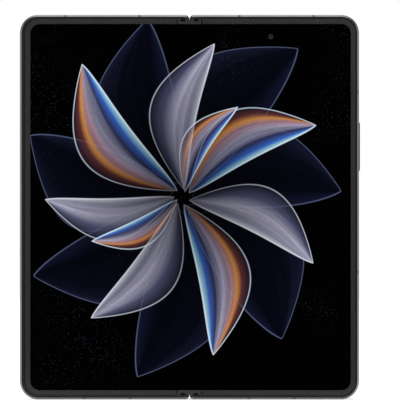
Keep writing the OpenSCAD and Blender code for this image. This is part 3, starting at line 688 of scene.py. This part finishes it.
def clear_glass(tree, tint, sheen):
    """A thin polished pane with an anti-reflection coat, which leaves a weak tinted reflection
    of its own."""
    return {"Base Color": colour(tint), "Roughness": 0.02, "Alpha": 0.25,
            "Specular Tint": colour(sheen)}


def coated_lens(tree, code, sheen):
    """The front of a lens: black in its depth, with the strongly tinted reflection of its
    coating."""
    return {"Base Color": colour(code), "Roughness": 0.06, "Specular IOR Level": 0.5,
            "Specular Tint": colour(sheen)}


def glossy_black(tree, code, rough):
    """Black glass or lacquer: deep and mirror-like, with very faint waviness 9 mm long."""
    place = node(tree, "TexCoord").outputs["Object"]
    wave = node(tree, "TexNoise", {"Vector": place, "Scale": 1 / (9 * MM), "Detail": 1.0})
    bump = node(tree, "Bump", {"Height": wave, "Distance": 0.004 * MM, "Strength": 1.0})
    return {"Base Color": colour(code), "Roughness": rough, "Normal": bump}


AXIS_R = 0.01  # radius of the small flat that closes a turned piece at its axis


def domed(top, drop, radius, bottom, steps):
    """Section of a lens, as (radius, y). Its front is a parabola, at top on the axis and drop
    further along at its edge; its back is flat."""
    r = np.linspace(AXIS_R, radius, steps)
    return [*zip(r, top + drop * (r / radius) ** 2), (radius, bottom), (AXIS_R, bottom)]


barrel_black = material("black anodised barrel", glossy_black, "#050506", 0.3)
lens_black = material("coated lens element", coated_lens, "#05060B", "#7A70E8")
coat_ring = material("bluish coated ring", moulded_plastic, "#34343F", "#484858", (0.25, 0.35))
selfie_face = display_front + 0.12
selfie_floor, selfie_out = selfie_face + 0.4, selfie_r - fit_gap
ring_in, ring_out, ring_floor = 0.42, 0.84, selfie_face + 0.35
selfie_barrel = [
    (selfie_out, selfie_face), (ring_out + 0.03, selfie_face),
    (ring_out + 0.01, selfie_face + 0.05), (ring_out, selfie_floor), (selfie_out, selfie_floor),
]
selfie_ring = [
    (ring_out, selfie_face + 0.03), (ring_in, selfie_face + 0.1),
    (ring_in, ring_floor), (ring_out, ring_floor),
]
selfie_lens = domed(selfie_face + 0.06, 0.22, ring_in, selfie_floor, 10)
solid("inner_camera_barrel", [turned(selfie_spot, selfie_barrel, 1, 64, ring=True)],
      barrel_black, "main_half", ["inner_camera"])
solid("inner_camera_ring", [turned(selfie_spot, selfie_ring, 1, 64, ring=True)],
      coat_ring, "main_half")
solid("inner_camera_lens", [turned(selfie_spot, selfie_lens, 1)],
      lens_black, "main_half")
can_back, can_t, can_edge, can_corner = span("inner_camera")[1][1], 2.4, 0.1, 0.4
can_profile = [
    (can_edge, can_back - can_t), (0, can_back - can_t + can_edge),
    (0, can_back - can_edge), (can_edge, can_back),
]
solid("inner_camera_module", [slab(*sides("inner_camera", (0, 2)), can_corner, can_profile, 1)],
      barrel_black, "main_half")

# ---- Side keys ----
# Caps of the same anodised aluminium in slots of the right rail, each on a flange that keeps it
# in. The volume key stands proud; the power key lies nearly flush and reads fingerprints.

key_round, cap_root, flange_t, flange_corner = 0.14, 0.5, 0.6, 0.5
key_metal = material("darker anodised key", anodised_aluminium, "#4E4F51", "#575859")
for name, body in (("volume_key", "volume_button"), ("power_key", "power_button")):
    low, high = span(name)
    rounding = arc(key_round, high[0] - key_round, key_round, 180, 90, 6)
    cap_profile = [(0.0, low[0] + cap_root), *rounding]
    cap = slab((-key_w / 2, key_w / 2), key_spans[name], key_w / 2, cap_profile, 0, 16)
    flange_profile = [(0, low[0]), (0, low[0] + flange_t)]
    flange = slab(*sides(name, (1, 2)), flange_corner, flange_profile, 0)
    solid(f"{name}_cap", [cap], key_metal, body, [name])
    solid(f"{name}_flange", [flange], band_plastic, body)

# ---- Charging port ----
# A drawn stainless steel shell with a rolled mouth, and a nylon tongue that carries twelve gold
# plated contacts on each face.


def drawn_steel(tree, dark, light, rough):
    """Drawn or stamped steel: bright, with faint marks from the tool."""
    return {**blasted(tree, dark, light, 0.25, 0.002, rough), "Metallic": 1.0}


def tube(first, second, corner, profile, axis):
    """Like slab, but the profile closes on itself, which leaves a tube."""
    steps = 14
    xyz, _ = slab(first, second, corner, profile, axis, steps)
    return stack(xyz.reshape(len(profile), 4 * (steps + 1), 3), ring=True)


port_steel = material("drawn stainless steel", drawn_steel, "#8E9094", "#A2A4A8", (0.25, 0.35))
contact_gold = material("gold plated contact", drawn_steel, "#D2A94F", "#DDB660", (0.2, 0.3))
tongue_nylon = material("black nylon tongue", moulded_plastic, "#101011", "#161617", (0.4, 0.5))
shell_wall, shell_roll = 0.3, 0.12
(_, shell_front, mouth), (_, shell_back, shell_end) = span("usb_shell")
shell_corner = (shell_back - shell_front) / 2
shell_profile = [
    (shell_roll, mouth), (0.0, mouth + shell_roll), (0.0, shell_end),
    (shell_wall, shell_end), (shell_wall, mouth + shell_roll), (shell_wall - shell_roll, mouth),
]
solid("port_shell", [tube(*sides("usb_shell", (0, 1)), shell_corner, shell_profile, 2)],
      port_steel, "main_half", ["usb_shell"])
overlap = 0.2
back_spans = sides("usb_shell", (0, 1), -overlap)
back_profile = [(0, shell_end - shell_wall), (0, shell_end)]
solid("port_back", [slab(*back_spans, shell_corner - overlap, back_profile, 2)],
      port_steel, "main_half")
(_, tongue_front, tip), (_, tongue_back, root) = span("usb_tongue")
tongue_profile, tongue_corner = [(0.2, tip), (0.06, tip + 0.08), (0, tip + 0.3), (0, root)], 0.3
solid("port_tongue", [slab(*sides("usb_tongue", (0, 1)), tongue_corner, tongue_profile, 2)],
      tongue_nylon, "main_half", ["usb_tongue"])
contact_pitch, contact_w, contact_t = 0.5, 0.26, 0.02
contact_profile = [(0, tip + 0.9), (0, root - 0.4)]
contact_faces = (tongue_front - contact_t, tongue_front), (tongue_back, tongue_back + contact_t)
contacts = []
for i in range(12):
    x = port_x + (i - 5.5) * contact_pitch
    for face in contact_faces:
        contacts.append(slab(grown(x, x, contact_w / 2), face, SHARP, contact_profile, 2, 1))
solid("port_contacts", contacts, contact_gold, "main_half")

# ---- Back glass ----
# A sheet of toughened glass, etched to a satin finish and backed with dark grey paint. Its edge is
# ground to a soft curve where it meets the rail.


def etched_glass(tree, dark, light):
    """Etched glass over paint: a silky, faintly sparkling dark grey."""
    return {**blasted(tree, dark, light, 0.2, 0.0012, (0.28, 0.34)),
            "Coat Weight": 0.15, "Coat Roughness": 0.3}


sheet_x, sheet_z = (edge_gap + 0.1, half_w - sheet_inset), (sheet_inset, body_h - sheet_inset)
# The ground edge is a quarter of an ellipse, wider than it is deep
ground_w, ground_t, fold_corner = 0.7, 0.45, 1.2
ground_edge = arc(1, 0, 1, 170, 90, 7) * [ground_w, ground_t] + [0, back_face - ground_t]
glass_profile = [(0.0, glass_inner), (0.0, back_face - ground_t), *ground_edge]


def rounded_sheet(profile):
    """The sheet that closes the back of one half: nearly square corners at the fold side, round
    at the outer side."""
    steps, outer = 20, corner_r - sheet_inset
    corners = np.repeat([outer, fold_corner, fold_corner, outer], steps + 1)
    return slab(sheet_x, sheet_z, corners, profile, 1, steps)


lens_high = span("camera_lenses")[1]
island_low, island_high = span("camera_island")
flash_low, flash_high = span("flash_lens")
island_spot = spot_of("camera_island")
island_r, island_face = (island_high[0] - island_low[0]) / 2, island_high[1]
lens_r = 5.2
lens_ring = lens_high[2] - lens_r - island_spot[1]
lens_spots = arc(*island_spot, lens_ring, 90, 330, 2)
flash_spot, flash_r = spot_of("flash_lens"), (flash_high[0] - flash_low[0]) / 2
glass_gap, pane_range = 0.1, (glass_inner - OVER, back_face + OVER)
pane_holes = [bored(spot, lens_r + glass_gap, *pane_range, 48) for spot in lens_spots]
pane_holes.append(bored(flash_spot, flash_r + glass_gap, *pane_range, 32))
satin_glass = material("etched back glass", etched_glass, "#3C3E42", "#44464A")
solid("back_pane", [rounded_sheet(glass_profile)], satin_glass, "main_half",
      ["back_glass"], [pane_holes])

# ---- Camera island ----
# A turned and anodised aluminium ring, bonded on the back glass, round a deck of polished black
# glass. Each camera looks out through its own window in a bright ring.

island_in, island_seat = island_r - 1.5, back_face - 0.02
inner_bevel, island_round, foot_h, foot_in = 0.1, 0.5, 0.25, 0.12
ring_profile = np.concatenate([
    [[island_in, island_seat], [island_in, island_face - inner_bevel]],
    [[island_in + inner_bevel, island_face]],
    arc(island_r - island_round, island_face - island_round, island_round, 90, 0, 8),
    [[island_r, back_face + foot_h], [island_r - foot_in, island_seat]],
])
polished_black = material("polished black glass", glossy_black, "#08080A", 0.06)
island_metal = material("turned aluminium", anodised_aluminium, "#6E7074", "#797B7F")
solid("island_ring", [turned(island_spot, ring_profile, 1, 128, ring=True)],
      island_metal, "main_half", ["camera_island"])
deck_gap, deck_range = 0.05, (back_face - OVER, island_face + OVER)
deck_holes = [bored(spot, lens_r + deck_gap, *deck_range) for spot in lens_spots]
deck_holes.append(bored(flash_spot, flash_r + deck_gap, *deck_range, 32))
deck_r, deck_edge = island_in - fit_gap, 0.25
deck_y, deck_foot = island_face - 0.12, back_face + 0.1
deck_profile = [
    (deck_r, deck_foot), (deck_r, deck_y - deck_edge), (deck_r - deck_edge, deck_y),
    (AXIS_R, deck_y), (AXIS_R, deck_foot),
]
solid("island_deck", [turned(island_spot, deck_profile, 1, 128)],
      polished_black, "main_half", ["camera_island"], [deck_holes])

window_glass = material("sapphire window", clear_glass, "#0A0B12", "#C4CAFF")
window_y = lens_high[1]
trim_in, trim_foot, trim_top, trim_bevel = lens_r - 0.46, window_y - 0.9, island_face - 0.06, 0.08
trim_profile = [
    (lens_r, trim_foot), (lens_r, trim_top), (lens_r - trim_bevel, island_face),
    (trim_in + trim_bevel, island_face), (trim_in, trim_top), (trim_in, trim_foot),
]
window_r, window_back = trim_in - fit_gap, window_y - 0.45
window_profile = [
    (AXIS_R, window_y), (window_r - 0.02, window_y), (window_r, window_y - 0.04),
    (window_r, window_back), (AXIS_R, window_back),
]
# Inside of a barrel: how much wider than the camera's opening each step is, and how deep it lies
barrel_steps = [
    (1.0, 0.6), (0.8, 0.9), (0.45, 1.0), (0.3, 1.5),
    (0.0, 1.6), (-0.1, 2.1), (-0.5, 2.2), (-0.6, 3.2),
]
barrel_r, barrel_top, barrel_floor = lens_r - 0.5, window_y - 0.6, window_y - 3.2
element_y, element_drop, openings = window_y - 1.75, 0.55, (3.1, 2.4, 2.7)
for number, (spot, opening) in enumerate(zip(lens_spots, openings), 1):
    barrel_profile = [(barrel_r, barrel_floor), (barrel_r, barrel_top)]
    barrel_profile += [(opening + wider, window_y - depth) for wider, depth in barrel_steps]
    element_profile = domed(element_y, -element_drop, opening - 0.1, barrel_floor, 14)
    rows = (
        ("trim", trim_profile, 96, True, island_metal, "island_metal", "camera_island"),
        ("window", window_profile, 64, False, window_glass, "lens_glass", "camera_lenses"),
        ("barrel", barrel_profile, 64, True, barrel_black, "camera_module", "camera_modules"),
        ("element", element_profile, 64, False, lens_black, "camera_module", "camera_modules"),
    )
    for name, profile, steps, ring, finish, slot, replaced in rows:
        solid(f"lens_{name}_{number}", [turned(spot, profile, 1, steps, ring)], finish,
              "main_half", [replaced])

flash_gel = material("frosted flash lens", moulded_plastic, "#E9E2C8", "#F2ECD6", (0.25, 0.35))
flash_face, flash_back, groove_pitch, groove_depth = flash_high[1], flash_low[1], 0.18, 0.08
# Its front has fine round grooves, which spread the light
groove_r = np.arange(0.25, flash_r - 0.2, groove_pitch)
ridge_y = flash_face - groove_depth * (np.arange(len(groove_r)) % 2)
flash_profile = [
    (AXIS_R, flash_face), *zip(groove_r, ridge_y),
    (flash_r, flash_face - 0.02), (flash_r, flash_back), (AXIS_R, flash_back),
]
solid("flash_window", [turned(flash_spot, flash_profile, 1)],
      flash_gel, "main_half", ["flash_lens"])

# ---- Cover display ----
# A sheet of toughened black-edged glass over a second display, which is dark. It has a window for
# its own camera and a slit for the earpiece.

# The left half's pieces are drawn on the right and mirrored
cover_spot = spot_of("cover_camera") * [-1, 1]
slit_x, slit_z = grown(cover_spot[0], cover_spot[0], 3.3), (body_h - 3.0, body_h - 2.6)
slit_corner = (slit_z[1] - slit_z[0]) / 2
slit = slab(slit_x, slit_z, slit_corner, [(0, depth) for depth in pane_range], 1)
solid("cover_pane", [rounded_sheet(glass_profile)], polished_black, "cover_half",
      ["cover_glass"], [[slit]], side=-1)
pupil_r, pupil_y, pupil_drop, pupil_back = 1.7, back_face + 0.012, 0.01, back_face - 0.02
cone_r = np.linspace(AXIS_R, pupil_r, 6)
cone_y = pupil_y - pupil_drop * cone_r / pupil_r
pupil_profile = [*zip(cone_r, cone_y), (pupil_r, pupil_back), (AXIS_R, pupil_back)]
printed_y, printed_out = back_face + 0.008, pupil_r + 0.18
printed_profile = [
    (pupil_r, pupil_back), (pupil_r, printed_y),
    (printed_out, printed_y), (printed_out, pupil_back),
]
solid("cover_camera_window", [turned(cover_spot, pupil_profile, 1)],
      lens_black, "cover_half", side=-1)
solid("cover_camera_ring", [turned(cover_spot, printed_profile, 1, 64, ring=True)],
      coat_ring, "cover_half", side=-1)

# ---- Spine ----
# A cover of steel sheet, pressed round both hinge axes and anodised like the frame. The halves
# roll over it as the phone closes.

spine_low, spine_high = span("spine_cover")
spine_r, spine_wall, rim_bevel, rim = spine_high[0] - axis_x, 0.6, 0.1, spine_low[1]
spine_out, spine_in = (
    np.concatenate([arc(axis_x, axis_y, r, 0, 90, 20), arc(-axis_x, axis_y, r, 90, 180, 20)])
    for r in (spine_r, spine_r - spine_wall)
)
rim_out, rim_in = axis_x + spine_r, axis_x + spine_r - spine_wall
spine_section = np.concatenate([
    [[rim_out - rim_bevel, rim], [rim_out, rim + rim_bevel]], spine_out,
    [[-rim_out, rim + rim_bevel], [-rim_out + rim_bevel, rim], [-rim_in, rim]], spine_in[::-1],
    [[rim_in, rim]],
])
# Gaps in its rim for the arms of the three hinge modules and for the flex
module_z, arm_w, arm_mid = (22, body_h / 2, body_h - 22), 3.6, 3.3
flex_low, flex_high = span("hinge_flex")
gap_spans = [
    grown(z + way * arm_mid, z + way * arm_mid, arm_w / 2) for z in module_z for way in (-1, 1)
]
gap_spans.append(grown(flex_low[2], flex_high[2], 0.5))
gap_x, gap_y = (-12, 12), (rim - OVER, axis_y + 1.2)
gaps = [slab(gap_x, gap_y, SHARP, [(0, low), (0, high)], 2, 1) for low, high in gap_spans]
spine_steel = material("anodised spine", anodised_aluminium, "#6E7075", "#787A7F")
solid("spine_shell", [prism(spine_section, 2, spine_low[2], spine_high[2])], spine_steel, "spine",
      ["spine_cover"], [gaps])

# ---- Hinge flex ----
# A flat cable of copper on amber polyimide crosses the hinge through a gap in it and bends with
# the halves.

amber_film = material("amber polyimide flex", moulded_plastic, "#8A4E1E", "#9A5C28", (0.3, 0.4))
(_, front, low), (flex_end, back, high) = flex_low, flex_high
corners = [(front, low), (front, high), (back, high), (back, low)]
slices = [[(x, y, z) for y, z in corners] for x in np.linspace(0, flex_end, 30)]
flexing = (
    (-1, "left", ("cover_half", "spine", -flex_end, 0.0)),
    (1, "right", ("spine", "main_half", 0.0, flex_end)),
)
for side, name, bodies in flexing:
    solid(f"flex_{name}", [stack(np.array(slices))], amber_film, bodies,
          ["hinge_flex"], side=side)

# ---- SIM tray ----
# A machined tray whose door lies flush in the left rail, with a carrier and its card seat behind.

(door_face, tray_end), tray_y, tray_z = sides("sim_tray", (0, 1, 2))
door_back, door_edge, door_corner = door_face + 0.9, 0.06, 0.74
door_profile = [(door_edge, door_face), (0.0, door_face + door_edge), (0.0, door_back)]
door = slab(tray_y, tray_z, door_corner, door_profile, 0, 12)
carrier = slab(tray_y, grown(*tray_z, -0.2), 0.4, [(0, door_back), (0, tray_end)], 0)
seat_x, seat_z = (door_face + 3.2, tray_end - 1.2), (tray_z[0] + 1.4, tray_z[1] - 1.8)
seat_depth, seat_corner = 0.6, 0.8
seat_profile = [(0, tray_y[1] - seat_depth), (0, tray_y[1] + OVER)]
seat = slab(seat_x, seat_z, seat_corner, seat_profile, 1)
solid("tray_door", [door], graphite, "tray", ["sim_tray"])
solid("tray_carrier", [carrier], tongue_nylon, "tray", ["sim_tray"], [[seat]])

# ---- Inside parts ----
# Boards, cells, magnets and hinge parts keep their CAD shapes, with a finish for each real
# material.


def circuit_board(tree):
    """Solder mask over copper: deep green with faint lighter tracks every 0.8 mm."""
    place = node(tree, "TexCoord").outputs["Object"]
    tracks = {
        "Vector": place, "Scale": 1 / (3.2 * MM), "Mortar Size": 0.02,
        "Color1": colour("#0E3B26"), "Color2": colour("#114A2F"), "Mortar": colour("#1F6A45"),
    }
    return {"Base Color": node(tree, "TexBrick", tracks), "Roughness": 0.35}


def wrapped_cell(tree):
    """Aluminium laminate pouch: satin dark grey with fine wrinkles."""
    return {**blasted(tree, "#3A3A3D", "#454548", 1.5, 0.02, (0.35, 0.45)), "Metallic": 0.4}


# The finish of each of the record's material slots that shows a CAD shape
INSIDE = {
    "circuit_board": ("solder mask", circuit_board),
    "battery_film": ("battery pouch", wrapped_cell),
    "shield_tin": ("tinned shield", drawn_steel, "#A9ABAE", "#B9BBBE", (0.3, 0.4)),
    "copper": ("copper foil", drawn_steel, "#B06A3C", "#C27D4C", (0.3, 0.4)),
    "magnet_nickel": ("nickel plating", drawn_steel, "#A6A49E", "#B2B0AA", (0.15, 0.25)),
    "hinge_steel": ("sintered steel", drawn_steel, "#8F9194", "#A0A2A5", (0.25, 0.4)),
    "spring_steel": ("spring steel", drawn_steel, "#7D7F86", "#8C8E95", (0.2, 0.3)),
    "port_steel": ("stamped steel", drawn_steel, "#8E9094", "#A2A4A8", (0.25, 0.35)),
    "flex_film": ("polyimide flex", moulded_plastic, "#8A4E1E", "#9A5C28", (0.3, 0.4)),
    "black_plastic": ("moulded polycarbonate", moulded_plastic, "#151516", "#1C1C1E", (0.4, 0.5)),
    "camera_module": ("camera housing", moulded_plastic, "#101012", "#18181B", (0.3, 0.4)),
    "display_film": ("dark display", moulded_plastic, "#050506", "#08080A", (0.15, 0.2)),
}
inside_finish = {slot: material(*details) for slot, details in INSIDE.items()}
for row in frame["record"]["subparts"]:
    piece = frame["nodes"][row["node"]]
    if not piece.hide_render:
        piece.data.materials.clear()
        piece.data.materials.append(inside_finish[row["material_slot"]])

# ---- Floor, light and camera ----
# A pale floor and a white room with a dark side behind the camera, as in a product studio.

FLOOR_GLOW = 0.55  # what the camera sees on top of the light that the floor reflects


def studio_floor():
    """Matte white floor that a soft shadow still darkens. The camera and reflections see it a
    little brighter than the lamps make it."""
    made = bpy.data.materials.new("floor paper")
    made.use_nodes = True
    made.node_tree.nodes.clear()
    add = partial(node, made.node_tree)
    path = add("LightPath").outputs
    seen = add("Math", [path["Is Camera Ray"], path["Is Glossy Ray"]], operation="ADD")
    seen = add("Math", [seen, path["Is Transmission Ray"]], operation="ADD", use_clamp=True)
    lift = add("Math", [seen, FLOOR_GLOW], operation="MULTIPLY")
    paper = add("BsdfDiffuse", {"Color": colour("#F4F4F4")})
    glow = add("Emission", {"Color": colour("#FFFFFF"), "Strength": lift})
    add("OutputMaterial", [add("AddShader", [paper, glow])])
    return made


floor_w, floor_front, floor_back, floor_z = 900, -22, 700, -0.02
corners = np.array([
    [-floor_w, floor_front, floor_z], [floor_w, floor_front, floor_z],
    [floor_w, floor_back, floor_z], [-floor_w, floor_back, floor_z],
])
floor = bpy.data.objects.new("floor", merged([(corners, [[0, 1, 2, 3]])]))
bpy.context.collection.objects.link(floor)
floor.data.materials.append(studio_floor())

scene = bpy.context.scene
scene.view_settings.view_transform = "Standard"
world = bpy.data.worlds.new("studio")
scene.world = world
world.use_nodes = True
world.node_tree.nodes.clear()
add = partial(node, world.node_tree)
heading = add("SeparateXYZ", [add("TexCoord").outputs["Generated"]]).outputs
SMOOTH = {"interpolation_type": "SMOOTHSTEP"}
ROOM_DARK, ROOM_LIGHT = 0.02, 1.0
GAP_DARK, WALL_LOW, AMBIENT = 0.12, 0.35, 0.7
# Between the white walls, ceiling and floor, the room's four edges level with the phone are dark
sideways, away, upward = (add("Math", [way], operation="ABSOLUTE") for way in heading)
corner = add("Math", [sideways, upward], operation="SUBTRACT")
corner = add("Math", [corner], operation="ABSOLUTE")
corner = add("MapRange", [corner, 0.1, 0.6, GAP_DARK, 1.0], **SMOOTH)
ends = add("MapRange", [away, 0.25, 0.7, 0.0, 1.0], **SMOOTH)
room = add("Math", [corner, ends], operation="MAXIMUM")
# The side behind the camera is dark
dark_side = add("MapRange", [heading[1], -0.95, -0.5, ROOM_DARK, ROOM_LIGHT], **SMOOTH)
room = add("Math", [room, dark_side], operation="MULTIPLY")
# The wall behind the phone is lit from above, which gives the glass of its back a soft gradient
wall = add("MapRange", [heading[2], -0.3, 0.5, WALL_LOW, 1.0], **SMOOTH)
elsewhere = add("MapRange", [heading[1], 0.3, 0.8, 1.0, 0.0], **SMOOTH)
wall = add("Math", [wall, elsewhere], operation="MAXIMUM")
room = add("Math", [room, wall], operation="MULTIPLY")
# Surfaces are lit a little less than the room that they mirror, and the camera sees plain white
path = add("LightPath").outputs
seen = add("Math", [path["Is Glossy Ray"], path["Is Transmission Ray"]], operation="MAXIMUM")
ambient = add("Math", [room, AMBIENT], operation="MULTIPLY")
mirrored = add("Mix", {0: seen, 2: ambient, 3: room}, data_type="FLOAT")
shown = add("Math", [mirrored, path["Is Camera Ray"]], operation="MAXIMUM")
add("OutputWorld", [add("Background", {"Color": colour("#FFFFFF"), "Strength": shown})])

# Soft boxes: name, place, size and power in watts; each faces the middle of the phone
LAMPS = [
    ("key", (400, -420, 420), 320, 0.7),
    ("fill", (-460, -360, 160), 300, 0.45),
    ("top", (0, 40, 620), 420, 0.7),
    ("rear", (-300, 520, 360), 360, 1.1),
]
phone_middle = Vector((0, 0, body_h / 2)) * MM
for name, spot, size, power in LAMPS:
    lamp = bpy.data.lights.new(name, "AREA")
    lamp.shape, lamp.size, lamp.energy = "SQUARE", size * MM, power
    holder = bpy.data.objects.new(name, lamp)
    bpy.context.collection.objects.link(holder)
    holder.location = Vector(spot) * MM
    aim = phone_middle - holder.location
    holder.rotation_euler = aim.to_track_quat("-Z", "Y").to_euler()

# The camera looks square on the display from 0.69 m; picture_w is what its frame spans there
sensor, focal, picture_w = 36.0, 150.0, 165.52
view_x, view_z = 4.36, 82.66
distance = picture_w * focal / sensor - bezel_front
lens = bpy.data.cameras.new("camera")
lens.sensor_width, lens.lens = sensor, focal
lens.clip_start, lens.clip_end = 0.01, 20.0
camera = bpy.data.objects.new("camera", lens)
bpy.context.collection.objects.link(camera)
camera.location = (view_x * MM, -distance * MM, view_z * MM)
camera.rotation_euler = (math.radians(90), 0, 0)
scene.camera = camera
